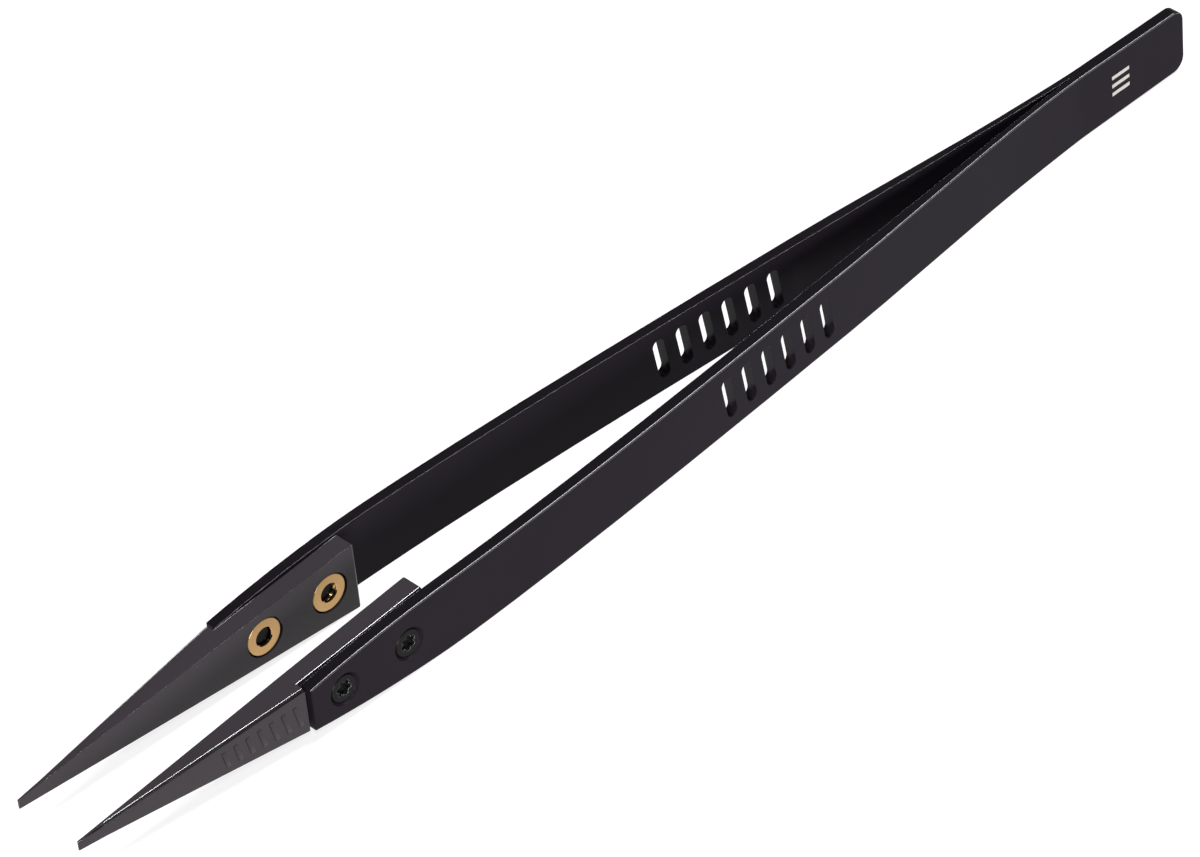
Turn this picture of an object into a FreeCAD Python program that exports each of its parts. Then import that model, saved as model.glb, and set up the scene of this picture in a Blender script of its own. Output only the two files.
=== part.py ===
# Ceramic-tipped tweezers, lying on the narrow edges of their two spring arms.
#
# Two black-coated stainless strips are welded together at the heel. Each one
# carries a wedge-shaped ceramic tip, held by two countersunk screws that run
# into flanged brass nuts let into the tip's inner face.
#
# Millimetres. The sketch frame has x along the length from the tips' points,
# y across the opening from the middle plane, and z up from the mid-height of
# the strips. The finished pieces are moved so that the origin is in the middle
# of the footprint, on the surface that the tweezers lie on. Left and right are
# as seen from the heel, looking to the points: the left side is at minus y.
import FreeCAD, Part
import math
import os
from FreeCAD import Vector

# Spring arms
overall_length = 130.2        # from the points to the heel
strip_width = 6.66            # height of an arm as it lies on its edge
strip_thickness = 1.09        # at the seat and through the grip
heel_thickness = 0.60         # of each arm, where the two are ground and welded
weld_length = 12.2            # arms face to face at the heel
thin_from_heel = 46.2         # where the grinding of the spring begins
thin_to_heel = 19.2           # where it reaches the heel's thickness
seat_gap = 10.11              # between the arms' inner faces at the tips' seats
seat_ease = 22.2              # how far the inner face keeps the seat's direction
weld_ease = 10.6              # how far it keeps the weld's direction
heel_height = 6.28            # strip width at the heel's end
heel_taper = 18.2             # length over which the strip narrows to the heel
heel_upper_corner = 1.2       # rounding of the heel, as it lies
heel_lower_corner = 1.35

# Slots through each arm
slot_count = 6
slot_pitch = 2.5
slot_width = 1.2
slot_height = 4.2
slot_slant = 8.0              # degrees, top leaning to the points
slot_row_reach = 76.0         # from the points to the middle of the row

# Ceramic tips
point_gap = 6.90              # between the tips' inner faces at the points
rear_gap = 5.98               # between them at the tips' rear ends
point_height = 0.90
point_thickness = 0.14
point_chamfer = 0.03          # of the outer long edges, at the point
shoulder_reach = 21.6         # from the point to the shoulder of the seat
shoulder_height = 4.54
outer_chamfer = 0.25          # of the outer long edges, from the shoulder back
rear_round = 0.25             # rounding of the rear end, top, bottom and inside
rear_round_steps = 4
rear_edge_inset = 0.05        # rear height inside the strip's, top and bottom
arm_stands_proud = 0.33       # arm's outer face beyond the tip's, at the shoulder
arm_front_gap = 0.35          # between the shoulder and the arm's front end
arm_front_inset = 0.19        # arm's front end lower than the tip, top and bottom
widen_past_tip = 3.5          # from the tip's rear end to the arm's full width

# Screws, from the arm's front end to the front one, then to the rear one
front_screw_inset = 3.30
screw_spacing = 6.88
rear_screw_inset = 2.95       # from the rear screw to the tip's rear end
countersink_diameter = 3.0
head_diameter = 2.5
head_sunk = 0.12              # below the arm's outer face
head_bevel = 0.06             # around the head's top
head_rim = 0.06               # straight rim between the bevel and the cone
cone_clearance = 0.02         # between the head's cone and the countersink
screw_diameter = 1.60         # core of the thread, which is left plain
thread_clearance = 0.04       # radial, between screw and nut
shank_clearance = 0.25        # radial, between the screw and the arm's hole
screw_length = 2.5
screw_end_chamfer = 0.12
lobe_count = 6
recess_diameter = 1.50        # across the lobes of the driving recess
recess_core = 1.08            # across its waists
recess_depth = 0.45

# Flanged nuts
flange_diameter = 3.40
flange_thickness = 0.50
flange_sunk = 0.10            # below the tip's inner face
flange_clearance = 0.13       # radial, in the counterbore
nut_body_diameter = 2.60
nut_body_clearance = 0.05     # radial, in the tip's hole
nut_short_of_arm = 0.15       # so that the screw pulls the tip to the arm
nut_mouth_chamfer = 0.05

# Places that follow from the sizes
half_width = strip_width / 2
seat_y = seat_gap / 2
arm_outer_y = seat_y + strip_thickness
arm_front_x = shoulder_reach + arm_front_gap
front_screw_x = arm_front_x + front_screw_inset
rear_screw_x = front_screw_x + screw_spacing
tip_rear_x = rear_screw_x + rear_screw_inset
full_width_x = tip_rear_x + widen_past_tip
seat_end_x = tip_rear_x + rear_round
weld_x = overall_length - weld_length
heel_taper_x = overall_length - heel_taper
thin_start_x = overall_length - thin_from_heel
thin_end_x = overall_length - thin_to_heel
tip_rear_height = strip_width - 2 * rear_edge_inset
shoulder_y = arm_outer_y - arm_stands_proud
sink_lip = (head_sunk + head_bevel + head_rim + cone_clearance
            - (countersink_diameter - head_diameter) / 2)
screw_places = {"front": front_screw_x, "rear": rear_screw_x}
past = 1.0                    # how far a cutter runs past what it cuts


def tip_inner_y(x):
    """Flat inner face of a tip, a little closed towards the rear."""
    return (point_gap + (rear_gap - point_gap) * x / tip_rear_x) / 2


def tip_half_height(x):
    """Straight top edge from the point to the shoulder."""
    return (point_height + (shoulder_height - point_height) * x / shoulder_reach) / 2


def spread(profile, direction):
    """Solid from closed edges, run along one direction."""
    return Part.Face(Part.Wire(profile)).extrude(direction)


def line(a, b):
    return Part.LineSegment(a, b).toShape()


def thickness_at(x):
    """Strip thickness, eased from the grip's to the heel's where it is ground."""
    u = (x - thin_start_x) / (thin_end_x - thin_start_x)
    u = min(max(u, 0.0), 1.0)
    eased = u * u * (3 - 2 * u)
    return strip_thickness + (heel_thickness - strip_thickness) * eased


# Plan of an arm
def arm_plan():
    """Strip seen from above: seat, spring curve and weld, as closed edges."""
    inner = Part.BezierCurve()
    inner.setPoles([Vector(seat_end_x, seat_y, 0), Vector(seat_end_x + seat_ease, seat_y, 0),
                    Vector(weld_x - weld_ease, 0, 0), Vector(weld_x, 0, 0)])
    steps = 16
    outer_points = []
    for i in range(steps + 1):
        t = i / steps
        on = inner.value(t)
        along = inner.tangent(t)[0]
        out = Vector(-along.y, along.x, 0)
        outer_points.append(on + out * thickness_at(on.x))
    outer = Part.BSplineCurve()
    outer.interpolate(Points=outer_points, InitialTangent=Vector(1, 0, 0), FinalTangent=Vector(1, 0, 0))
    front_in = Vector(arm_front_x, seat_y, 0)
    front_out = Vector(arm_front_x, arm_outer_y, 0)
    heel_in = Vector(overall_length, 0, 0)
    heel_out = Vector(overall_length, heel_thickness, 0)
    return [line(front_in, inner.StartPoint), inner.toShape(), line(inner.EndPoint, heel_in),
            line(heel_in, heel_out), line(heel_out, outer.EndPoint), outer.toShape(),
            line(outer.StartPoint, front_out), line(front_out, front_in)]


# Side of an arm
def arm_side():
    """Strip seen from the side: arched front taper, straight middle, rounded heel."""
    front_half = tip_half_height(arm_front_x) - arm_front_inset
    heel_half = heel_height / 2
    rise = half_width - front_half
    run = full_width_x - arm_front_x
    arch_radius = (run ** 2 + rise ** 2) / (2 * rise)
    half_turn = math.asin(run / arch_radius) / 2
    mid_x = full_width_x - arch_radius * math.sin(half_turn)
    mid_z = half_width - arch_radius * (1 - math.cos(half_turn))

    def at(x, z):
        return Vector(x, 0, z)

    def arch(side):
        return Part.Arc(at(arm_front_x, side * front_half), at(mid_x, side * mid_z),
                        at(full_width_x, side * half_width)).toShape()

    heel_slope = math.atan2(half_width - heel_half, heel_taper)
    turn = math.pi / 2 + heel_slope
    lean = (math.pi / 2 - heel_slope) / 2

    def corner(side, radius):
        """Arc of a heel corner, from the narrow side to the end."""
        cut_back = radius / math.tan(turn / 2)
        in_from_corner = radius * (1 / math.sin(turn / 2) - 1)
        start = at(overall_length - cut_back * math.cos(heel_slope),
                   side * (heel_half + cut_back * math.sin(heel_slope)))
        middle = at(overall_length - in_from_corner * math.cos(lean),
                    side * (heel_half - in_from_corner * math.sin(lean)))
        end = at(overall_length, side * (heel_half - cut_back))
        return [start, middle, end]

    upper = corner(1, heel_upper_corner)
    lower = corner(-1, heel_lower_corner)
    return [arch(1), line(at(full_width_x, half_width), at(heel_taper_x, half_width)),
            line(at(heel_taper_x, half_width), upper[0]), Part.Arc(*upper).toShape(),
            line(upper[2], lower[2]), Part.Arc(*lower).toShape(),
            line(lower[0], at(heel_taper_x, -half_width)),
            line(at(heel_taper_x, -half_width), at(full_width_x, -half_width)), arch(-1),
            line(at(arm_front_x, -front_half), at(arm_front_x, front_half))]


def slot_cutters():
    """Slanted slots with round ends, in an even row along the arm."""
    reach = half_width + arm_outer_y
    radius = slot_width / 2
    straight = slot_height / 2 - radius
    cutters = []
    for i in range(slot_count):
        x = slot_row_reach + (i - (slot_count - 1) / 2) * slot_pitch
        profile = [line(Vector(-radius, 0, -straight), Vector(-radius, 0, straight)),
                   Part.Arc(Vector(-radius, 0, straight), Vector(0, 0, straight + radius),
                            Vector(radius, 0, straight)).toShape(),
                   line(Vector(radius, 0, straight), Vector(radius, 0, -straight)),
                   Part.Arc(Vector(radius, 0, -straight), Vector(0, 0, -straight - radius),
                            Vector(-radius, 0, -straight)).toShape()]
        cutter = spread(profile, Vector(0, reach, 0))
        cutter.rotate(Vector(0, 0, 0), Vector(0, 1, 0), -slot_slant)
        cutter.translate(Vector(x, 0, 0))
        cutters.append(cutter)
    return cutters


def countersunk_hole(x):
    """Hole for a screw, widened to the countersink below a short straight lip."""
    hole_radius = screw_diameter / 2 + shank_clearance
    sink_radius = countersink_diameter / 2
    cone_depth = sink_radius - hole_radius
    hole = Part.makeCylinder(hole_radius, strip_thickness + 2 * past,
                             Vector(x, seat_y - past, 0), Vector(0, 1, 0))
    cone = Part.makeCone(hole_radius, sink_radius, cone_depth,
                         Vector(x, arm_outer_y - sink_lip - cone_depth, 0), Vector(0, 1, 0))
    mouth = Part.makeCylinder(sink_radius, sink_lip + past, Vector(x, arm_outer_y - sink_lip, 0),
                              Vector(0, 1, 0))
    return hole.fuse([cone, mouth])


def make_arm():
    plan = spread(arm_plan(), Vector(0, 0, strip_width + 2 * past))
    plan.translate(Vector(0, 0, -half_width - past))
    side = spread(arm_side(), Vector(0, arm_outer_y + 2 * past, 0))
    side.translate(Vector(0, -past, 0))
    blank = plan.common(side)
    holes = [countersunk_hole(x) for x in screw_places.values()]
    return blank.cut(slot_cutters() + holes)


# Ceramic tip
def tip_section(x, half_height, outer_y, chamfer, inset=0.0):
    """Section across a tip, flat all round, its two outer corners chamfered."""
    inner_y = tip_inner_y(x) + inset
    top = half_height - inset
    corners = [Vector(x, inner_y, -top), Vector(x, inner_y, top),
               Vector(x, outer_y - chamfer, top), Vector(x, outer_y, top - chamfer),
               Vector(x, outer_y, chamfer - top), Vector(x, outer_y - chamfer, -top)]
    return Part.Wire([line(a, b) for a, b in zip(corners, corners[1:] + corners[:1])])


def nut_pocket(x):
    """Counterbore for a nut's flange and the hole for its body."""
    face_y = tip_inner_y(x)
    counterbore = Part.makeCylinder(flange_diameter / 2 + flange_clearance,
                                    flange_sunk + flange_thickness + past,
                                    Vector(x, face_y - past, 0), Vector(0, 1, 0))
    hole = Part.makeCylinder(nut_body_diameter / 2 + nut_body_clearance, seat_y - face_y + 2 * past,
                             Vector(x, face_y - past, 0), Vector(0, 1, 0))
    return counterbore.fuse(hole)


def make_tip():
    shoulder_half = shoulder_height / 2
    nose = Part.makeLoft([
        tip_section(0, point_height / 2, point_gap / 2 + point_thickness, point_chamfer),
        tip_section(shoulder_reach, shoulder_half, shoulder_y, outer_chamfer)], True, True)
    sections = [tip_section(shoulder_reach, shoulder_half, seat_y, outer_chamfer)]
    for i in range(rear_round_steps + 1):
        angle = math.pi / 2 * i / rear_round_steps
        x = tip_rear_x - rear_round * (1 - math.sin(angle))
        inset = rear_round * (1 - math.cos(angle))
        sections.append(tip_section(x, tip_rear_height / 2, seat_y, outer_chamfer, inset))
    tip = nose.fuse(Part.makeLoft(sections, True, True))
    return tip.cut([nut_pocket(x) for x in screw_places.values()])


# Fasteners, turned about an axis along y
def turned(x, profile):
    """Revolve a closed outline of (radius, y) corners about the line at x."""
    corners = [Vector(x + r, y, 0) for r, y in profile]
    edges = [line(a, b) for a, b in zip(corners, corners[1:] + corners[:1])]
    return Part.Face(Part.Wire(edges)).revolve(Vector(x, 0, 0), Vector(0, 1, 0), 360)


def driving_recess(x, floor_y):
    """Six-lobe recess: a round core with a ring of round lobes."""
    depth = recess_depth + past
    lobe_radius = (recess_diameter - recess_core) / 2
    lobe_ring = recess_diameter / 2 - lobe_radius
    recess = Part.makeCylinder(recess_core / 2, depth, Vector(x, floor_y, 0), Vector(0, 1, 0))
    for i in range(lobe_count):
        angle = 2 * math.pi * i / lobe_count
        centre = Vector(x + lobe_ring * math.cos(angle), floor_y, lobe_ring * math.sin(angle))
        recess = recess.fuse(Part.makeCylinder(lobe_radius, depth, centre, Vector(0, 1, 0)))
    return recess.removeSplitter()


def make_screw(x):
    top_y = arm_outer_y - head_sunk
    head_radius = head_diameter / 2
    shank_radius = screw_diameter / 2
    cone_top_y = top_y - head_bevel - head_rim
    cone_end_y = cone_top_y - (head_radius - shank_radius)
    end_y = top_y - screw_length
    body = turned(x, [(0, top_y), (head_radius - head_bevel, top_y),
                      (head_radius, top_y - head_bevel), (head_radius, cone_top_y),
                      (shank_radius, cone_end_y), (shank_radius, end_y + screw_end_chamfer),
                      (shank_radius - screw_end_chamfer, end_y), (0, end_y)])
    return body.cut(driving_recess(x, top_y - recess_depth))


def make_nut(x):
    face_y = tip_inner_y(x) + flange_sunk
    flange_back_y = face_y + flange_thickness
    end_y = seat_y - nut_short_of_arm
    bore = screw_diameter / 2 + thread_clearance
    return turned(x, [(bore + nut_mouth_chamfer, face_y), (flange_diameter / 2, face_y),
                      (flange_diameter / 2, flange_back_y), (nut_body_diameter / 2, flange_back_y),
                      (nut_body_diameter / 2, end_y), (bore, end_y),
                      (bore, face_y + nut_mouth_chamfer)])


def all_pieces():
    """Every piece of one side, and its mirror image on the other."""
    right = {"arm": make_arm(), "ceramic_tip": make_tip()}
    for place, x in screw_places.items():
        right[place + "_screw"] = make_screw(x)
        right[place + "_nut"] = make_nut(x)
    pieces = {}
    for name, shape in right.items():
        pieces["right_" + name] = shape
        pieces["left_" + name] = shape.mirror(Vector(0, 0, 0), Vector(0, 1, 0))
    return pieces


os.makedirs("parts", exist_ok=True)
to_origin = Vector(-overall_length / 2, 0, half_width)
for name, shape in all_pieces().items():
    shape.translate(to_origin)
    shape.exportStep("parts/" + name + ".step")
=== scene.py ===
"""Ceramic-tipped tweezers lying on the narrow edges of their arms, dressed for a studio view.

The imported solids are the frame. The arms, tips and screws are copies of those solids with their sharp
edges broken as the real ones are, the nuts are turned here with their threads, and each finish is a
procedural material. Lengths in the code are in metres; the sizes named below are in real millimetres.
"""

import math

import bmesh
import bpy
from mathutils import Matrix, Vector


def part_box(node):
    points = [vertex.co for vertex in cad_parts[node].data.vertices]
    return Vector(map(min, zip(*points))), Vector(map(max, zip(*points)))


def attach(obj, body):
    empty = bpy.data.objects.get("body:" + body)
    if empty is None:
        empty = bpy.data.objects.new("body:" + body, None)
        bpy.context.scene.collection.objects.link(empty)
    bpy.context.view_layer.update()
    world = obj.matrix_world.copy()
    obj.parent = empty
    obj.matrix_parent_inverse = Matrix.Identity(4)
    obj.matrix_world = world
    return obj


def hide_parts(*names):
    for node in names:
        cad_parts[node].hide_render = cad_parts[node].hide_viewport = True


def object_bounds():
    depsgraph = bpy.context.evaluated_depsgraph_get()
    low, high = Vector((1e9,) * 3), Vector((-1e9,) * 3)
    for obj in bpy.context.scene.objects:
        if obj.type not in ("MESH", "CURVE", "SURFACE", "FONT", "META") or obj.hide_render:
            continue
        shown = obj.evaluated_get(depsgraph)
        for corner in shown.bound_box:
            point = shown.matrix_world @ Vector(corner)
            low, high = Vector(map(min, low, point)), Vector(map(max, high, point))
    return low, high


bl_info = {
    "name": "Ceramic-Tipped Tweezers",
    "version": (1, 0, 0),
    "blender": (4, 5, 0),
    "location": "View3D > Sidebar > Tweezers",
    "description": "Dresses the packed tweezers and sets the studio round them",
    "category": "Object",
}

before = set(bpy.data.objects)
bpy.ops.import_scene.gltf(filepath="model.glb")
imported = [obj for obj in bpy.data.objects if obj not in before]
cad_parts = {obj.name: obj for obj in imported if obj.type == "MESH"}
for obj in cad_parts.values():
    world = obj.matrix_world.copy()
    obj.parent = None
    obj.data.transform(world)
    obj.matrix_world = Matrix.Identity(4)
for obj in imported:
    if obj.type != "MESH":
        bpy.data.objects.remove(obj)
CAD_BOX = [[float(value) for value in corner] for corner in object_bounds()]
MM = 0.001
# Each side's direction along y, and the angle in degrees at which each screw stopped
SIDES = {"left": -1.0, "right": 1.0}
STOPPED_AT = {"left_front": 12.0, "left_rear": 38.0, "right_front": 25.0, "right_rear": 51.0}

# The tips: their points, shoulders and outer faces, and the chamfers along their outer edges
MID_HEIGHT = (CAD_BOX[0][2] + CAD_BOX[1][2]) / 2
POINT_X = CAD_BOX[0][0]
SHOULDER_X = POINT_X + 21.6 * MM
POINT_OUTER_Y = 3.59 * MM
SHOULDER_OUTER_Y = 5.815 * MM
NEARLY_FULL_X = POINT_X + 2.5 * MM
CHAMFER_LEG = 0.25 * MM
CHAMFER_SHARES = ((POINT_X, 0.12), (NEARLY_FULL_X, 0.76), (SHOULDER_X, 1.0))
TIP_SCREW_REACH = 2.2 * MM

# The arms: where their front taper ends, and the bands round mid height that hold screws and slots
ARM_FULL_WIDTH_X = SHOULDER_X + 17.0 * MM
ARCH_LEAST_HEIGHT = 2.0 * MM
SCREW_BAND = 1.9 * MM
SLOT_BAND = 2.4 * MM
BANDS_START_X = SHOULDER_X + 0.6 * MM
BANDS_END_X = 60.0 * MM
SLOT_ROW_END_X = 30.0 * MM
SEAM_REACH = 0.02 * MM
ARM_SCREW_REACH = 1.8 * MM
HEEL_THICKNESS = 0.60 * MM
FLAT_EDGE_Z = 0.985

# The screws and nuts
RECESS_REACH = 0.9 * MM
RECESS_DEPTH = 0.44 * MM
NUT_BORE = 0.80 * MM
NUT_MOUTH = 0.89 * MM
NUT_EDGE = 0.05 * MM
NUT_FLANGE_THICKNESS = 0.5 * MM
NUT_BARREL = 1.3 * MM
TOOL_MARK_SPACING = 0.10 * MM


def linear(hex_colour):
    """Turn an sRGB hex colour into the linear values that Blender works in."""
    values = [int(hex_colour[i:i + 2], 16) / 255 for i in (1, 3, 5)]
    return tuple(v / 12.92 if v <= 0.04045 else ((v + 0.055) / 1.055) ** 2.4 for v in values)


def length_setting(name, description, millimetres):
    return bpy.props.FloatProperty(name=name, description=description, default=millimetres * MM,
                                   min=0.0, precision=5, subtype="DISTANCE", unit="LENGTH")


def colour_setting(name, description, hex_colour):
    return bpy.props.FloatVectorProperty(name=name, description=description, subtype="COLOR", size=3,
                                         min=0.0, max=1.0, default=linear(hex_colour))


class TweezersSizes(bpy.types.PropertyGroup):
    arm_edge_break: length_setting("Arm edge break", "Rounding of the strips' outer edges", 0.12)
    inner_edge_break: length_setting("Inner edge break", "Rounding of the strips' inner edges", 0.02)
    arch_smoothing: length_setting("Arch smoothing", "Rounding between the facets of the front taper", 0.6)
    slot_edge_break: length_setting("Slot edge break", "Rounding round each slot", 0.05)
    chamfer_edge_break: length_setting("Chamfer edge break", "Rounding beside the noses' chamfers", 0.08)
    tip_edge_break: length_setting("Tip edge break", "Rounding of the tips' other edges", 0.03)
    thread_pitch: length_setting("Thread pitch", "Pitch of the screws and nuts", 0.40)
    thread_depth: length_setting("Thread depth", "Depth of the thread in the nuts", 0.15)
    recess_edge_break: length_setting("Recess edge break", "Rounding of the driving recess's edge", 0.035)
    bar_count: bpy.props.IntProperty(name="Raised bars", description="Bars on the near tip",
                                     default=7, min=0)
    bar_rise: length_setting("Bar rise", "Height of the raised bars on the near tip", 0.06)
    ink_thickness: length_setting("Ink thickness", "Thickness of the printed bars", 0.01)


class TweezersColours(bpy.types.PropertyGroup):
    coating: colour_setting("Coating", "Black coating of the arms", "#211C23")
    ceramic: colour_setting("Ceramic", "Ground black zirconia", "#363136")
    screw: colour_setting("Screws", "Black oxide of the screws", "#131314")
    brass: colour_setting("Brass", "Turned brass of the nuts", "#BF9A68")
    mark: colour_setting("Mark", "Printed bars by the heel", "#DAD6D0")


# Meshes
def cad_copy(node):
    """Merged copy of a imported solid, with the flat faces' inner edges dissolved."""
    mesh = bmesh.new()
    mesh.from_mesh(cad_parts[node].data)
    bmesh.ops.remove_doubles(mesh, verts=mesh.verts, dist=0.001 * MM)
    bmesh.ops.dissolve_limit(mesh, angle_limit=math.radians(0.4), use_dissolve_boundaries=False,
                             verts=mesh.verts, edges=mesh.edges, delimit=set())
    return mesh


def sharp_edges(mesh, wanted, least_angle=40.0, most_angle=180.0):
    """Edges that turn by an angle between the two, in degrees, and whose middle is wanted."""
    found = []
    for edge in mesh.edges:
        if len(edge.link_faces) != 2:
            continue
        if not least_angle < math.degrees(edge.calc_face_angle(0.0)) < most_angle:
            continue
        if wanted((edge.verts[0].co + edge.verts[1].co) / 2):
            found.append(edge)
    return found


def break_edges(mesh, edges, width, segments=3):
    bmesh.ops.bevel(mesh, geom=edges, offset=width, offset_type="OFFSET", segments=segments,
                    profile=0.5, affect="EDGES", clamp_overlap=True, material=-1)


def chamfer_share(x):
    """Width of a tip's chamfer at x, as a share of its full width."""
    if x >= SHOULDER_X:
        return 1.0
    for (near_x, near_share), (far_x, far_share) in zip(CHAMFER_SHARES, CHAMFER_SHARES[1:]):
        if x <= far_x:
            break
    return near_share + (far_share - near_share) * max(x - near_x, 0.0) / (far_x - near_x)


def outer_face_y(x):
    """Distance of a tip's outer face from the middle plane."""
    along = min((x - POINT_X) / (SHOULDER_X - POINT_X), 1.0)
    return POINT_OUTER_Y + (SHOULDER_OUTER_Y - POINT_OUTER_Y) * along


def cut_across(mesh, x):
    bmesh.ops.bisect_plane(mesh, geom=mesh.verts[:] + mesh.edges[:] + mesh.faces[:],
                           plane_co=(x, 0.0, 0.0), plane_no=(1.0, 0.0, 0.0))


def widen_chamfer(mesh, sign):
    """Bring a tip's chamfer to nearly its full width a little way behind the point."""
    cut_across(mesh, NEARLY_FULL_X)
    ring = [vert for vert in mesh.verts if abs(vert.co.x - NEARLY_FULL_X) < 0.001 * MM]
    outer_y = outer_face_y(NEARLY_FULL_X)
    half_height = max(abs(vert.co.z - MID_HEIGHT) for vert in ring)
    leg = CHAMFER_LEG * chamfer_share(NEARLY_FULL_X)
    for vert in ring:
        height = vert.co.z - MID_HEIGHT
        depth = outer_y - abs(vert.co.y)
        if depth < 0.01 * MM:
            vert.co.z = MID_HEIGHT + math.copysign(half_height - leg, height)
        elif depth < leg:
            vert.co.y = sign * (outer_y - leg)


def scale_sections(mesh, sign, widen):
    """Scale a tip's sections about its outer face: breaks made between two calls thin to the point."""
    for vert in mesh.verts:
        share = chamfer_share(vert.co.x)
        factor = 1.0 / share if widen else share
        outer_y = sign * outer_face_y(vert.co.x)
        vert.co.y = outer_y + (vert.co.y - outer_y) * factor
        vert.co.z = MID_HEIGHT + (vert.co.z - MID_HEIGHT) * factor


def give_finish(mesh, slot, wanted):
    """Give the faces wanted by their normal and middle the object's material of that slot."""
    mesh.normal_update()
    for face in mesh.faces:
        if wanted(face.normal, face.calc_center_median()):
            face.material_index = slot


def ring_turned(mesh, profile, steps=72):
    """Turn a closed outline of (radius, y) points about the y axis."""
    corners = [mesh.verts.new((radius, y, 0.0)) for radius, y in profile]
    edges = [mesh.edges.new((a, b)) for a, b in zip(corners, corners[1:] + corners[:1])]
    bmesh.ops.spin(mesh, geom=corners + edges, cent=(0.0, 0.0, 0.0), axis=(0.0, 1.0, 0.0),
                   angle=2 * math.pi, steps=steps, use_merge=True)
    bmesh.ops.remove_doubles(mesh, verts=mesh.verts, dist=0.001 * MM)
    bmesh.ops.recalc_face_normals(mesh, faces=mesh.faces)


def finished_object(name, mesh, materials, replaced=(), sharp=35.0):
    """Make the object of a finished mesh, smooth between its sharp edges, and seat it on the frame."""
    data = bpy.data.meshes.new(name)
    mesh.to_mesh(data)
    mesh.free()
    data.polygons.foreach_set("use_smooth", [True] * len(data.polygons))
    data.set_sharp_from_angle(angle=math.radians(sharp))
    for material in materials:
        data.materials.append(material)
    piece = bpy.data.objects.new(name, data)
    bpy.context.scene.collection.objects.link(piece)
    weighted = piece.modifiers.new("Flat faces stay flat", "WEIGHTED_NORMAL")
    weighted.mode = "FACE_AREA"
    weighted.weight = 50
    weighted.keep_sharp = True
    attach(piece, "root")
    if replaced:
        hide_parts(*replaced)
    return piece


# Materials
def add_node(tree, kind, settings=None, links=None):
    """Add a node, set its inputs or options by name, and link sockets into its inputs."""
    node = tree.nodes.new(kind)
    for key, value in (settings or {}).items():
        if key in node.inputs:
            node.inputs[key].default_value = value
        else:
            setattr(node, key, value)
    for key, socket in (links or {}).items():
        tree.links.new(socket, node.inputs[key])
    return node


def new_material(name):
    """Empty material with a Principled shader, and its tree and shader."""
    material = bpy.data.materials.new(name)
    material.use_nodes = True
    tree = material.node_tree
    tree.nodes.clear()
    shader = add_node(tree, "ShaderNodeBsdfPrincipled")
    output = add_node(tree, "ShaderNodeOutputMaterial")
    tree.links.new(shader.outputs["BSDF"], output.inputs["Surface"])
    return material, tree, shader


def per_mm(size_mm):
    """Texture scale at which one feature is size_mm across."""
    return 1.0 / (size_mm * MM)


def rgba(colour, factor=1.0):
    return (colour[0] * factor, colour[1] * factor, colour[2] * factor, 1.0)


def satin_coating(name, colour):
    """Thin baked coating on stainless strip: even, satin, with a faint cloud and a fine grain."""
    material, tree, shader = new_material(name)
    place = add_node(tree, "ShaderNodeTexCoord").outputs["Object"]
    cloud = add_node(tree, "ShaderNodeTexNoise", {"Scale": per_mm(14.0), "Detail": 2.0}, {"Vector": place})
    tint = add_node(tree, "ShaderNodeMix", {"data_type": "RGBA"})
    tint.inputs[6].default_value = rgba(colour, 0.85)
    tint.inputs[7].default_value = rgba((colour[0] * 1.12, colour[1] * 1.17, colour[2] * 1.17))
    tree.links.new(cloud.outputs["Fac"], tint.inputs[0])
    tree.links.new(tint.outputs[2], shader.inputs["Base Color"])
    sheen_spread = add_node(tree, "ShaderNodeMapRange", {"To Min": 0.29, "To Max": 0.34},
                            {"Value": cloud.outputs["Fac"]})
    tree.links.new(sheen_spread.outputs["Result"], shader.inputs["Roughness"])
    # The coating's grain is about 0.05 mm, drawn at 0.18 mm so that it shows.
    grain = add_node(tree, "ShaderNodeTexNoise", {"Scale": per_mm(0.18), "Detail": 3.0}, {"Vector": place})
    bump = add_node(tree, "ShaderNodeBump", {"Strength": 0.08, "Distance": 0.01 * MM},
                    {"Height": grain.outputs["Fac"]})
    tree.links.new(bump.outputs["Normal"], shader.inputs["Normal"])
    shader.inputs["IOR"].default_value = 1.5
    shader.inputs["Specular IOR Level"].default_value = 0.035
    return material


def face_coating(colour):
    return satin_coating("satin_black_coating", colour)


def shaded_edge_coating(colour):
    """The coating on the strips' flat top and bottom edges, with its colour darkened to 0.55 of the faces'
    colour: painted shade. Its roughness is the same as the faces'.
    """
    return satin_coating("shaded_edge_black_coating", [value * 0.55 for value in colour])


def burnished_coating(colour):
    """The same coating on the tumbled edges, rubbed smooth: darker, with a crisp sheen."""
    material, tree, shader = new_material("burnished_black_coating")
    place = add_node(tree, "ShaderNodeTexCoord").outputs["Object"]
    rub = add_node(tree, "ShaderNodeTexNoise", {"Scale": per_mm(2.0), "Detail": 3.0}, {"Vector": place})
    spread = add_node(tree, "ShaderNodeMapRange", {"To Min": 0.18, "To Max": 0.30},
                      {"Value": rub.outputs["Fac"]})
    tree.links.new(spread.outputs["Result"], shader.inputs["Roughness"])
    shader.inputs["Base Color"].default_value = rgba(colour, 0.3)
    shader.inputs["IOR"].default_value = 2.2
    shader.inputs["Specular IOR Level"].default_value = 0.5
    return material


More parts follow.
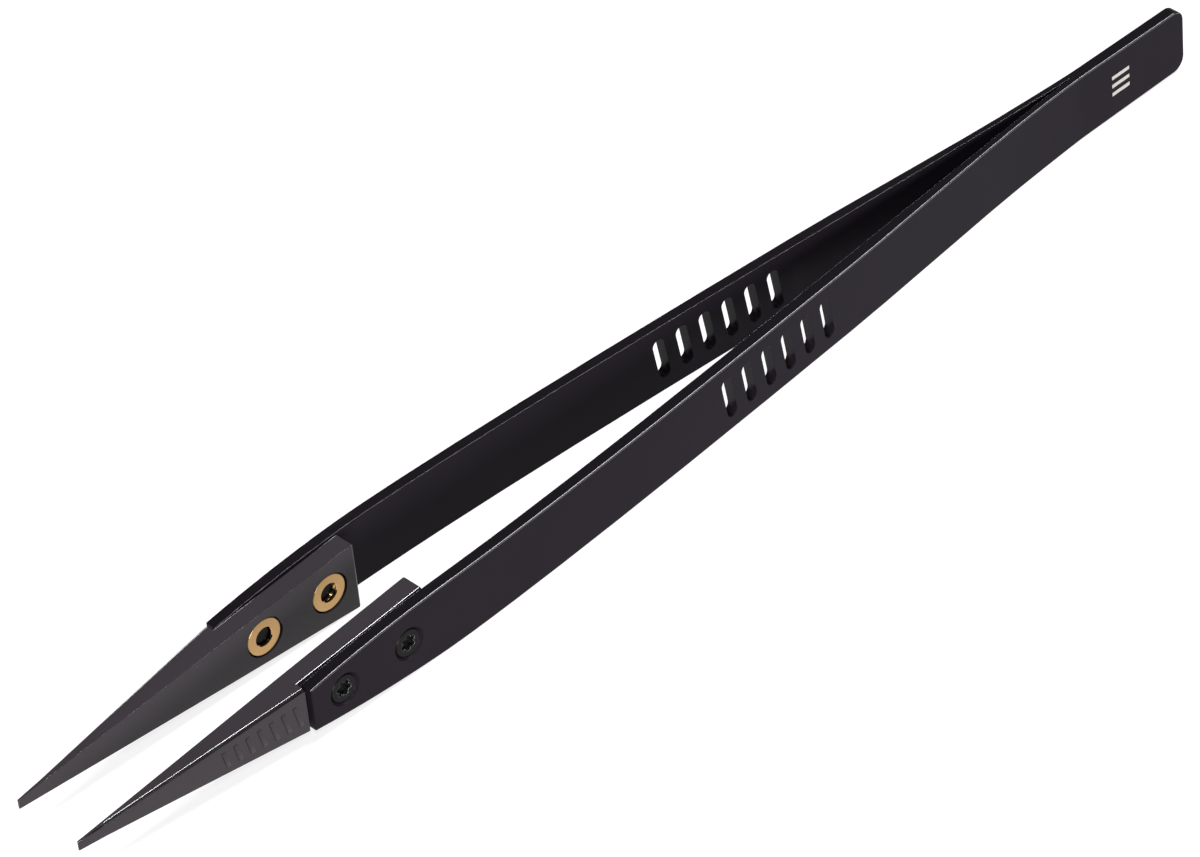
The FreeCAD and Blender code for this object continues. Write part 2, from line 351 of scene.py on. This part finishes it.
def ground_zirconia(colour):
    """Fired zirconia, surface ground along the tip: matte, with fine lines and a few pale grains."""
    material, tree, shader = new_material("ground_black_zirconia")
    place = add_node(tree, "ShaderNodeTexCoord").outputs["Object"]
    cloud = add_node(tree, "ShaderNodeTexNoise", {"Scale": per_mm(6.0), "Detail": 3.0}, {"Vector": place})
    speck = add_node(tree, "ShaderNodeTexNoise", {"Scale": per_mm(0.30), "Detail": 1.0}, {"Vector": place})
    specks = add_node(tree, "ShaderNodeMapRange", {"From Min": 0.77, "From Max": 0.83},
                      {"Value": speck.outputs["Fac"]})
    tint = add_node(tree, "ShaderNodeMix", {"data_type": "RGBA"})
    tint.inputs[6].default_value = rgba(colour, 0.90)
    tint.inputs[7].default_value = rgba(colour, 1.10)
    tree.links.new(cloud.outputs["Fac"], tint.inputs[0])
    dusted = add_node(tree, "ShaderNodeMix", {"data_type": "RGBA"})
    dusted.inputs[7].default_value = rgba(linear("#5C585A"))
    tree.links.new(specks.outputs["Result"], dusted.inputs[0])
    tree.links.new(tint.outputs[2], dusted.inputs[6])
    tree.links.new(dusted.outputs[2], shader.inputs["Base Color"])
    # Grinding lines are 0.02 mm apart on the real tip and are drawn at 0.12 mm, long along x.
    stretch = add_node(tree, "ShaderNodeMapping", {"Scale": (0.06, 1.0, 1.0)}, {"Vector": place})
    lines = add_node(tree, "ShaderNodeTexNoise", {"Scale": per_mm(0.12), "Detail": 2.0},
                     {"Vector": stretch.outputs["Vector"]})
    bump = add_node(tree, "ShaderNodeBump", {"Strength": 0.15, "Distance": 0.01 * MM},
                    {"Height": lines.outputs["Fac"]})
    tree.links.new(bump.outputs["Normal"], shader.inputs["Normal"])
    spread = add_node(tree, "ShaderNodeMapRange", {"To Min": 0.20, "To Max": 0.26},
                      {"Value": cloud.outputs["Fac"]})
    tree.links.new(spread.outputs["Result"], shader.inputs["Roughness"])
    shader.inputs["IOR"].default_value = 2.1
    shader.inputs["Specular IOR Level"].default_value = 0.06
    return material


def lapped_zirconia(colour):
    """Zirconia on the lapped edges: nearly polished, so it shows its full gloss."""
    material, tree, shader = new_material("lapped_black_zirconia")
    place = add_node(tree, "ShaderNodeTexCoord").outputs["Object"]
    rub = add_node(tree, "ShaderNodeTexNoise", {"Scale": per_mm(1.5), "Detail": 2.0}, {"Vector": place})
    spread = add_node(tree, "ShaderNodeMapRange", {"To Min": 0.10, "To Max": 0.16},
                      {"Value": rub.outputs["Fac"]})
    tree.links.new(spread.outputs["Result"], shader.inputs["Roughness"])
    shader.inputs["Base Color"].default_value = rgba(colour, 0.06)
    shader.inputs["IOR"].default_value = 2.5
    shader.inputs["Specular IOR Level"].default_value = 1.0
    return material


def shaded_side_zirconia(colour):
    """Zirconia on the raised bars' sides: dull, with its colour darkened to 0.2 to 0.4 of the ground
    face's colour, as painted shade that outlines each bar.
    """
    material, tree, shader = new_material("shaded_side_black_zirconia")
    place = add_node(tree, "ShaderNodeTexCoord").outputs["Object"]
    pores = add_node(tree, "ShaderNodeTexNoise", {"Scale": per_mm(0.1), "Detail": 2.0}, {"Vector": place})
    tint = add_node(tree, "ShaderNodeMix", {"data_type": "RGBA"})
    tint.inputs[6].default_value = rgba(colour, 0.20)
    tint.inputs[7].default_value = rgba(colour, 0.40)
    tree.links.new(pores.outputs["Fac"], tint.inputs[0])
    tree.links.new(tint.outputs[2], shader.inputs["Base Color"])
    shader.inputs["Roughness"].default_value = 0.5
    shader.inputs["IOR"].default_value = 2.1
    shader.inputs["Specular IOR Level"].default_value = 0.06
    return material


def black_oxide_steel(colour):
    """Blackened steel screws, oiled: near black, with small crisp glints."""
    material, tree, shader = new_material("black_oxide_steel")
    place = add_node(tree, "ShaderNodeTexCoord").outputs["Object"]
    wear = add_node(tree, "ShaderNodeTexNoise", {"Scale": per_mm(0.5), "Detail": 3.0}, {"Vector": place})
    tint = add_node(tree, "ShaderNodeMix", {"data_type": "RGBA"})
    tint.inputs[6].default_value = rgba(colour, 0.8)
    tint.inputs[7].default_value = rgba(colour, 1.4)
    tree.links.new(wear.outputs["Fac"], tint.inputs[0])
    tree.links.new(tint.outputs[2], shader.inputs["Base Color"])
    spread = add_node(tree, "ShaderNodeMapRange", {"To Min": 0.24, "To Max": 0.34},
                      {"Value": wear.outputs["Fac"]})
    tree.links.new(spread.outputs["Result"], shader.inputs["Roughness"])
    bump = add_node(tree, "ShaderNodeBump", {"Strength": 0.2, "Distance": 0.01 * MM},
                    {"Height": wear.outputs["Fac"]})
    tree.links.new(bump.outputs["Normal"], shader.inputs["Normal"])
    shader.inputs["IOR"].default_value = 1.6
    shader.inputs["Specular IOR Level"].default_value = 0.05
    return material


def oiled_oxide_edge(colour):
    """Black oxide on the screws' edges and recess, worn smooth and oiled: small bright glints."""
    material, tree, shader = new_material("oiled_oxide_edge")
    place = add_node(tree, "ShaderNodeTexCoord").outputs["Object"]
    rub = add_node(tree, "ShaderNodeTexNoise", {"Scale": per_mm(0.3), "Detail": 2.0}, {"Vector": place})
    spread = add_node(tree, "ShaderNodeMapRange", {"To Min": 0.12, "To Max": 0.28},
                      {"Value": rub.outputs["Fac"]})
    tree.links.new(spread.outputs["Result"], shader.inputs["Roughness"])
    shader.inputs["Base Color"].default_value = rgba(colour, 1.0)
    shader.inputs["IOR"].default_value = 2.0
    shader.inputs["Specular IOR Level"].default_value = 0.5
    return material


def turned_brass(colour):
    """Free-cutting brass, faced on a lathe: warm metal with fine rings round the bore."""
    material, tree, shader = new_material("turned_brass")
    turn = add_node(tree, "ShaderNodeUVMap", {"uv_map": "turn"}).outputs["UV"]
    # Tool marks are 0.03 mm apart, drawn at 0.10 mm.
    rings = add_node(tree, "ShaderNodeTexNoise", {"noise_dimensions": "2D", "Scale": 1.0, "Detail": 2.0},
                     {"Vector": turn})
    tint = add_node(tree, "ShaderNodeMix", {"data_type": "RGBA"})
    tint.inputs[6].default_value = rgba(colour, 0.90)
    tint.inputs[7].default_value = rgba(colour, 1.10)
    tree.links.new(rings.outputs["Fac"], tint.inputs[0])
    tree.links.new(tint.outputs[2], shader.inputs["Base Color"])
    bump = add_node(tree, "ShaderNodeBump", {"Strength": 0.15, "Distance": 0.01 * MM},
                    {"Height": rings.outputs["Fac"]})
    tree.links.new(bump.outputs["Normal"], shader.inputs["Normal"])
    shader.inputs["Metallic"].default_value = 1.0
    shader.inputs["Roughness"].default_value = 0.38
    return material


def threaded_brass(colour):
    """Brass in the tapped bore: cut smooth by the tap, so it shows bright glints."""
    material, tree, shader = new_material("threaded_brass")
    place = add_node(tree, "ShaderNodeTexCoord").outputs["Object"]
    rub = add_node(tree, "ShaderNodeTexNoise", {"Scale": per_mm(0.2), "Detail": 2.0}, {"Vector": place})
    spread = add_node(tree, "ShaderNodeMapRange", {"To Min": 0.12, "To Max": 0.22},
                      {"Value": rub.outputs["Fac"]})
    tree.links.new(spread.outputs["Result"], shader.inputs["Roughness"])
    shader.inputs["Base Color"].default_value = rgba(colour)
    shader.inputs["Metallic"].default_value = 1.0
    return material


def printed_white(colour):
    """Pad-printed ink on the coating: off-white, slightly uneven."""
    material, tree, shader = new_material("printed_off_white")
    place = add_node(tree, "ShaderNodeTexCoord").outputs["Object"]
    cover = add_node(tree, "ShaderNodeTexNoise", {"Scale": per_mm(0.4), "Detail": 2.0}, {"Vector": place})
    tint = add_node(tree, "ShaderNodeMix", {"data_type": "RGBA"})
    tint.inputs[6].default_value = rgba(colour, 0.85)
    tint.inputs[7].default_value = rgba(colour, 1.0)
    tree.links.new(cover.outputs["Fac"], tint.inputs[0])
    tree.links.new(tint.outputs[2], shader.inputs["Base Color"])
    shader.inputs["Roughness"].default_value = 0.6
    return material


def shared_material(name, maker, colour):
    return bpy.data.materials.get(name) or maker(colour)


# Places on the pieces
def screw_axes(side):
    """(x, z) of the two screws of a side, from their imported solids."""
    axes = []
    for place in ("front", "rear"):
        low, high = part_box(side + "_" + place + "_screw")
        axes.append(((low[0] + high[0]) / 2, (low[2] + high[2]) / 2))
    return axes


def near_a_screw(axes, point, reach):
    return any(math.hypot(point.x - x, point.z - z) < reach for x, z in axes)


class TWEEZERS_OT_arms(bpy.types.Operator):
    """Dress the two spring arms: break their long edges and slots, and coat them"""
    bl_idname = "tweezers.arms"
    bl_label = "Spring Arms"

    def execute(self, context):
        sizes = context.scene.tweezers_sizes
        colour = context.scene.tweezers_colours.coating
        # The third coating is a darker copy of the first: painted shade for the flat top and bottom edges.
        coating = [shared_material("satin_black_coating", face_coating, colour),
                   shared_material("burnished_black_coating", burnished_coating, colour),
                   shared_material("shaded_edge_black_coating", shaded_edge_coating, colour)]
        for side, sign in SIDES.items():
            mesh = cad_copy(side + "_arm")
            axes = screw_axes(side)

            def is_on_arch(point):
                return point.x < ARM_FULL_WIDTH_X and abs(point.z - MID_HEIGHT) > ARCH_LEAST_HEIGHT

            # The front taper is drawn in flats that turn by 0.5 to 5 degrees.
            break_edges(mesh, sharp_edges(mesh, is_on_arch, 0.5, 5.0), sizes.arch_smoothing)

            def is_long_edge(point):
                in_seam = abs(point.y) < SEAM_REACH
                band = SLOT_BAND if point.x > 0.0 else SCREW_BAND
                in_band = abs(point.z - MID_HEIGHT) < band and BANDS_START_X < point.x < BANDS_END_X
                return not in_seam and not in_band

            def is_slot_edge(point):
                return abs(point.z - MID_HEIGHT) < SLOT_BAND and 0.0 < point.x < SLOT_ROW_END_X

            outer_edges = [edge for edge in sharp_edges(mesh, is_long_edge)
                           if any(face.normal.y * sign > 0.5 for face in edge.link_faces)]
            break_edges(mesh, outer_edges, sizes.arm_edge_break)
            break_edges(mesh, sharp_edges(mesh, is_long_edge), sizes.inner_edge_break)
            break_edges(mesh, sharp_edges(mesh, is_slot_edge, 60.0), sizes.slot_edge_break, 2)

            def is_rubbed(normal, middle):
                at_slot = middle.x > 0.0 and abs(middle.z - MID_HEIGHT) < SLOT_BAND
                on_break = abs(normal.y) > 0.1 and 0.2 < abs(normal.z) < FLAT_EDGE_Z
                return on_break and not at_slot and not near_a_screw(axes, middle, ARM_SCREW_REACH)

            # The flat top and bottom edges get the darker coating: painted shade.
            def is_shaded_edge(normal, middle):
                return abs(normal.z) >= FLAT_EDGE_Z

            give_finish(mesh, 1, is_rubbed)
            give_finish(mesh, 2, is_shaded_edge)
            finished_object(side + "_arm_strip", mesh, coating, (side + "_arm",))
        return {"FINISHED"}


class TWEEZERS_OT_tips(bpy.types.Operator):
    """Dress the two ceramic tips: widen their chamfers, break and lap their edges"""
    bl_idname = "tweezers.tips"
    bl_label = "Ceramic Tips"

    def execute(self, context):
        sizes = context.scene.tweezers_sizes
        colour = context.scene.tweezers_colours.ceramic
        ceramic = [shared_material("ground_black_zirconia", ground_zirconia, colour),
                   shared_material("lapped_black_zirconia", lapped_zirconia, colour)]
        for side, sign in SIDES.items():
            mesh = cad_copy(side + "_ceramic_tip")
            axes = screw_axes(side)
            widen_chamfer(mesh, sign)

            def is_outside(point):
                return not near_a_screw(axes, point, TIP_SCREW_REACH)

            def is_on_nose(point):
                return point.x < SHOULDER_X - 0.1 * MM

            def is_on_seat(point):
                return is_outside(point) and not is_on_nose(point)

            # The chamfers' own edges turn by 45 degrees, and the tips' other edges by more.
            for wanted, least, most, width in ((is_on_nose, 40.0, 60.0, sizes.chamfer_edge_break),
                                               (is_on_seat, 40.0, 60.0, sizes.tip_edge_break),
                                               (is_outside, 60.0, 180.0, sizes.tip_edge_break)):
                edges = sharp_edges(mesh, wanted, least, most)
                scale_sections(mesh, sign, widen=True)
                break_edges(mesh, edges, width)
                scale_sections(mesh, sign, widen=False)

            def is_lapped(normal, middle):
                at_shoulder = abs(middle.x - SHOULDER_X) < 0.1 * MM and abs(normal.y) < 0.99
                return is_outside(middle) and (0.6 < abs(normal.z) < 0.975 or at_shoulder)

            give_finish(mesh, 1, is_lapped)
            finished_object(side + "_tip_ground", mesh, ceramic,
                            (side + "_ceramic_tip",))
        return {"FINISHED"}


class TWEEZERS_OT_screws(bpy.types.Operator):
    """Dress the four countersunk screws: turn them as they stopped and break their recesses' edges"""
    bl_idname = "tweezers.screws"
    bl_label = "Screws"

    def execute(self, context):
        sizes = context.scene.tweezers_sizes
        colour = context.scene.tweezers_colours.screw
        blackened = [shared_material("black_oxide_steel", black_oxide_steel, colour),
                     shared_material("oiled_oxide_edge", oiled_oxide_edge, colour)]
        for side, sign in SIDES.items():
            for place in ("front", "rear"):
                node = side + "_" + place + "_screw"
                mesh = cad_copy(node)
                low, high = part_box(node)
                head_y = low[1] if sign < 0 else high[1]
                axis = Vector(((low[0] + high[0]) / 2, 0.0, (low[2] + high[2]) / 2))
                stopped_at = math.radians(STOPPED_AT[side + "_" + place])
                turned = Matrix.Rotation(stopped_at, 3, "Y")
                bmesh.ops.rotate(mesh, cent=axis, matrix=turned, verts=mesh.verts)
                rim = sharp_edges(mesh, lambda p: abs(p.y - head_y) < 0.01 * MM, 60.0)
                break_edges(mesh, rim, sizes.recess_edge_break)

                def is_recess_wall(normal, middle):
                    reach = math.hypot(middle.x - axis.x, middle.z - axis.z)
                    depth = abs(middle.y - head_y)
                    return reach < RECESS_REACH and depth < RECESS_DEPTH and abs(normal.y) < 0.99

                give_finish(mesh, 1, is_recess_wall)
                finished_object(node + "_blackened", mesh, blackened, (node,))
        return {"FINISHED"}


class TWEEZERS_OT_nuts(bpy.types.Operator):
    """Turn the four flanged brass nuts, with their threads"""
    bl_idname = "tweezers.nuts"
    bl_label = "Flanged Nuts"

    def execute(self, context):
        sizes = context.scene.tweezers_sizes
        colour = context.scene.tweezers_colours.brass
        brass = [shared_material("turned_brass", turned_brass, colour),
                 shared_material("threaded_brass", threaded_brass, colour)]
        for side, sign in SIDES.items():
            for place in ("front", "rear"):
                node = side + "_" + place + "_nut"
                low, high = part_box(node)
                x, z = (low[0] + high[0]) / 2, (low[2] + high[2]) / 2
                flange = (high[0] - low[0]) / 2
                length = high[1] - low[1]
                root = NUT_BORE + sizes.thread_depth
                pitch = sizes.thread_pitch
                outline = [(NUT_MOUTH, 0.0), (flange - NUT_EDGE, 0.0), (flange, NUT_EDGE),
                           (flange, NUT_FLANGE_THICKNESS), (NUT_BARREL, NUT_FLANGE_THICKNESS),
                           (NUT_BARREL, length), (NUT_BORE, length)]
                depth = length
                while depth - pitch > NUT_MOUTH - NUT_BORE:
                    outline += [(root, depth - 0.5 * pitch), (NUT_BORE, depth - pitch)]
                    depth -= pitch
                outline.append((NUT_BORE, NUT_MOUTH - NUT_BORE))
                mesh = bmesh.new()
                ring_turned(mesh, outline)

                def is_tapped(normal, middle):
                    return math.hypot(middle.x, middle.z) < root and abs(normal.y) < 0.95

                give_finish(mesh, 1, is_tapped)
                turn = mesh.loops.layers.uv.new("turn")
                for face in mesh.faces:
                    for corner in face.loops:
                        point = corner.vert.co
                        radius = math.hypot(point.x, point.z)
                        corner[turn].uv = (radius / TOOL_MARK_SPACING, math.atan2(point.z, point.x) * 0.8)
                face_y = high[1] if sign < 0 else low[1]
                if sign < 0:
                    bmesh.ops.scale(mesh, vec=(1.0, -1.0, 1.0), verts=mesh.verts)
                    bmesh.ops.reverse_faces(mesh, faces=mesh.faces)
                bmesh.ops.translate(mesh, vec=(x, face_y, z), verts=mesh.verts)
                finished_object(node + "_turned", mesh, brass, (node,), 30.0)
        return {"FINISHED"}


class TWEEZERS_OT_marks(bpy.types.Operator):
    """Raise a row of plain bars on the left tip and print three plain bars by the heel"""
    bl_idname = "tweezers.marks"
    bl_label = "Plain Marks"

    def execute(self, context):
        sizes = context.scene.tweezers_sizes
        colours = context.scene.tweezers_colours
        ceramic = [shared_material("ground_black_zirconia", ground_zirconia, colours.ceramic),
                   shared_material("shaded_side_black_zirconia", shaded_side_zirconia, colours.ceramic)]

        # Raised bars: each stands half sunk in the tip's outer face, and they grow towards the shoulder.
        first_bar, bar_pitch, bar_width = 13.8 * MM, 1.15 * MM, 0.42 * MM
        first_height, height_step = 1.6 * MM, 0.10 * MM
        lean = Matrix.Rotation(math.radians(-12), 3, "Y")
        slope = math.atan2(SHOULDER_OUTER_Y - POINT_OUTER_Y, SHOULDER_X - POINT_X)
        along_face = Matrix.Rotation(-slope, 3, "Z")
        mesh = bmesh.new()
        for i in range(sizes.bar_count):
            along = first_bar + bar_pitch * i
            bar_size = (bar_width, 2 * sizes.bar_rise, first_height + height_step * i)
            bar = bmesh.ops.create_cube(mesh, size=1.0)["verts"]
            bmesh.ops.scale(mesh, vec=bar_size, verts=bar)
            bmesh.ops.rotate(mesh, cent=(0, 0, 0), matrix=lean, verts=bar)
            bmesh.ops.rotate(mesh, cent=(0, 0, 0), matrix=along_face, verts=bar)
            y = -(POINT_OUTER_Y + along * math.tan(slope))
            bmesh.ops.translate(mesh, vec=(POINT_X + along, y, MID_HEIGHT), verts=bar)
        break_edges(mesh, list(mesh.edges), sizes.bar_rise * 0.7, 2)
        # Painted shade: the bars' sides get the darker zirconia, which outlines each bar.
        give_finish(mesh, 1, lambda normal, middle: abs(normal.y) < 0.9)
        finished_object("left_tip_raised_bars", mesh, ceramic)

        # Printed bars: half of each one's depth is inside the arm, as ink has no gap under it.
        ink = [shared_material("printed_off_white", printed_white, colours.mark)]
        from_heel, line_length, line_width, line_pitch = 8.2 * MM, 2.2 * MM, 0.36 * MM, 0.86 * MM
        middle_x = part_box("left_arm")[1][0] - from_heel
        mesh = bmesh.new()
        for place in (-1, 0, 1):
            height = MID_HEIGHT + place * line_pitch
            bar = bmesh.ops.create_cube(mesh, size=1.0)["verts"]
            bmesh.ops.scale(mesh, vec=(line_length, sizes.ink_thickness * 2, line_width), verts=bar)
            bmesh.ops.translate(mesh, vec=(middle_x, -HEEL_THICKNESS, height), verts=bar)
        finished_object("left_arm_printed_bars", mesh, ink)
        return {"FINISHED"}


class TWEEZERS_OT_studio(bpy.types.Operator):
    """Set the pale floor, the soft lamps and the camera of the photograph"""
    bl_idname = "tweezers.studio"
    bl_label = "Studio"

    def execute(self, context):
        scene = context.scene
        scene.view_settings.view_transform = "Standard"

        # Floor: near white to the eye and to reflections, with the tweezers' soft shadow
        floor_glow, floor_grey, floor_half_width, room_grey = 0.78, 0.36, 3.0, 0.02
        material = bpy.data.materials.new("white_table")
        material.use_nodes = True
        tree = material.node_tree
        tree.nodes.clear()
        path = add_node(tree, "ShaderNodeLightPath")
        seen = add_node(tree, "ShaderNodeMath", {"operation": "MAXIMUM"})
        tree.links.new(path.outputs["Is Camera Ray"], seen.inputs[0])
        tree.links.new(path.outputs["Is Glossy Ray"], seen.inputs[1])
        seen_through = add_node(tree, "ShaderNodeMath", {"operation": "MAXIMUM"})
        tree.links.new(seen.outputs["Value"], seen_through.inputs[0])
        tree.links.new(path.outputs["Is Transmission Ray"], seen_through.inputs[1])
        strength = add_node(tree, "ShaderNodeMath", {"operation": "MULTIPLY"})
        tree.links.new(seen_through.outputs["Value"], strength.inputs[0])
        strength.inputs[1].default_value = floor_glow
        glow = add_node(tree, "ShaderNodeEmission", {"Color": (1.0, 1.0, 1.0, 1.0)},
                        {"Strength": strength.outputs["Value"]})
        matte = add_node(tree, "ShaderNodeBsdfDiffuse", {"Color": rgba((1.0, 1.0, 1.0), floor_grey)})
        both = add_node(tree, "ShaderNodeAddShader")
        tree.links.new(glow.outputs["Emission"], both.inputs[0])
        tree.links.new(matte.outputs["BSDF"], both.inputs[1])
        output = add_node(tree, "ShaderNodeOutputMaterial")
        tree.links.new(both.outputs["Shader"], output.inputs["Surface"])
        mesh = bmesh.new()
        bmesh.ops.create_grid(mesh, x_segments=1, y_segments=1, size=floor_half_width)
        data = bpy.data.meshes.new("table")
        mesh.to_mesh(data)
        mesh.free()
        data.materials.append(material)
        floor = bpy.data.objects.new("table", data)
        scene.collection.objects.link(floor)

        # World: the dim room round the table
        world = bpy.data.worlds.new("dim_room")
        world.use_nodes = True
        room = world.node_tree.nodes["Background"]
        room.inputs["Color"].default_value = rgba((1.0, 1.0, 1.0), room_grey)
        room.inputs["Strength"].default_value = 1.0
        scene.world = world

        # Lamps: low soft boxes in front and behind, a dim panel at the back, a strip above for the edges
        # and a small lamp for the glints. Distances and sizes are in metres.
        def soft_box(name, toward, distance, width, height, watts):
            lamp = bpy.data.lights.new(name, "AREA")
            lamp.shape = "RECTANGLE"
            lamp.size = width
            lamp.size_y = height
            lamp.energy = watts
            held = bpy.data.objects.new(name, lamp)
            back = Vector(toward).normalized()
            wide = (Vector((1.0, 0.0, 0.0)) - back * back.x).normalized()
            tall = back.cross(wide)
            place = back * distance
            held.matrix_world = Matrix((
                (wide.x, tall.x, back.x, place.x),
                (wide.y, tall.y, back.y, place.y),
                (wide.z, tall.z, back.z, place.z),
                (0.0, 0.0, 0.0, 1.0)))
            scene.collection.objects.link(held)

        soft_box("front_left_soft_box", (-0.60, -0.79, 0.13), 1.2, 0.7, 0.36, 14.8)
        soft_box("back_panel", (0.50, 0.58, 0.64), 1.5, 1.2, 1.2, 1.5)
        soft_box("rear_soft_box", (0.30, 0.94, 0.14), 1.4, 0.8, 0.4, 9.0)
        soft_box("edge_strip", (0.36, -0.10, 0.93), 1.2, 0.90, 0.40, 13.4)
        soft_box("glint_lamp", (-0.42, -0.50, 0.76), 1.2, 0.12, 0.12, 2.6)

        # Camera of the photograph, found from the edges in it
        data = bpy.data.cameras.new("photo_camera")
        data.sensor_fit = "HORIZONTAL"
        data.sensor_width = 36.0
        data.lens = 181.68
        data.clip_start = 0.01
        data.clip_end = 20.0
        camera = bpy.data.objects.new("photo_camera", data)
        right = Vector((0.70874948, -0.70099100, -0.07928298))
        up = Vector((0.49508779, 0.41418438, 0.76376658))
        back = Vector((-0.50255572, -0.58057120, 0.64060505))
        place = Vector((-252.0897, -284.6053, 318.4113)) * MM
        camera.matrix_world = Matrix((
            (right.x, up.x, back.x, place.x),
            (right.y, up.y, back.y, place.y),
            (right.z, up.z, back.z, place.z),
            (0.0, 0.0, 0.0, 1.0)))
        scene.collection.objects.link(camera)
        scene.camera = camera
        return {"FINISHED"}


class TWEEZERS_PT_panel(bpy.types.Panel):
    """Sizes, colours and makers of the tweezers"""
    bl_label = "Tweezers"
    bl_idname = "TWEEZERS_PT_panel"
    bl_space_type = "VIEW_3D"
    bl_region_type = "UI"
    bl_category = "Tweezers"

    def draw(self, context):
        for group in (context.scene.tweezers_sizes, context.scene.tweezers_colours):
            box = self.layout.box()
            for name in group.__annotations__:
                box.prop(group, name)
        for maker in MAKERS:
            self.layout.operator(maker.bl_idname)


MAKERS = (TWEEZERS_OT_arms, TWEEZERS_OT_tips, TWEEZERS_OT_screws, TWEEZERS_OT_nuts, TWEEZERS_OT_marks,
          TWEEZERS_OT_studio)
CLASSES = (TweezersSizes, TweezersColours) + MAKERS + (TWEEZERS_PT_panel,)


def register():
    for cls in CLASSES:
        bpy.utils.register_class(cls)
    bpy.types.Scene.tweezers_sizes = bpy.props.PointerProperty(type=TweezersSizes)
    bpy.types.Scene.tweezers_colours = bpy.props.PointerProperty(type=TweezersColours)


def unregister():
    del bpy.types.Scene.tweezers_colours
    del bpy.types.Scene.tweezers_sizes
    for cls in reversed(CLASSES):
        bpy.utils.unregister_class(cls)


def main():
    register()
    bpy.ops.tweezers.arms()
    bpy.ops.tweezers.tips()
    bpy.ops.tweezers.screws()
    bpy.ops.tweezers.nuts()
    bpy.ops.tweezers.marks()
    bpy.ops.tweezers.studio()


if __name__ == "__main__":
    main()
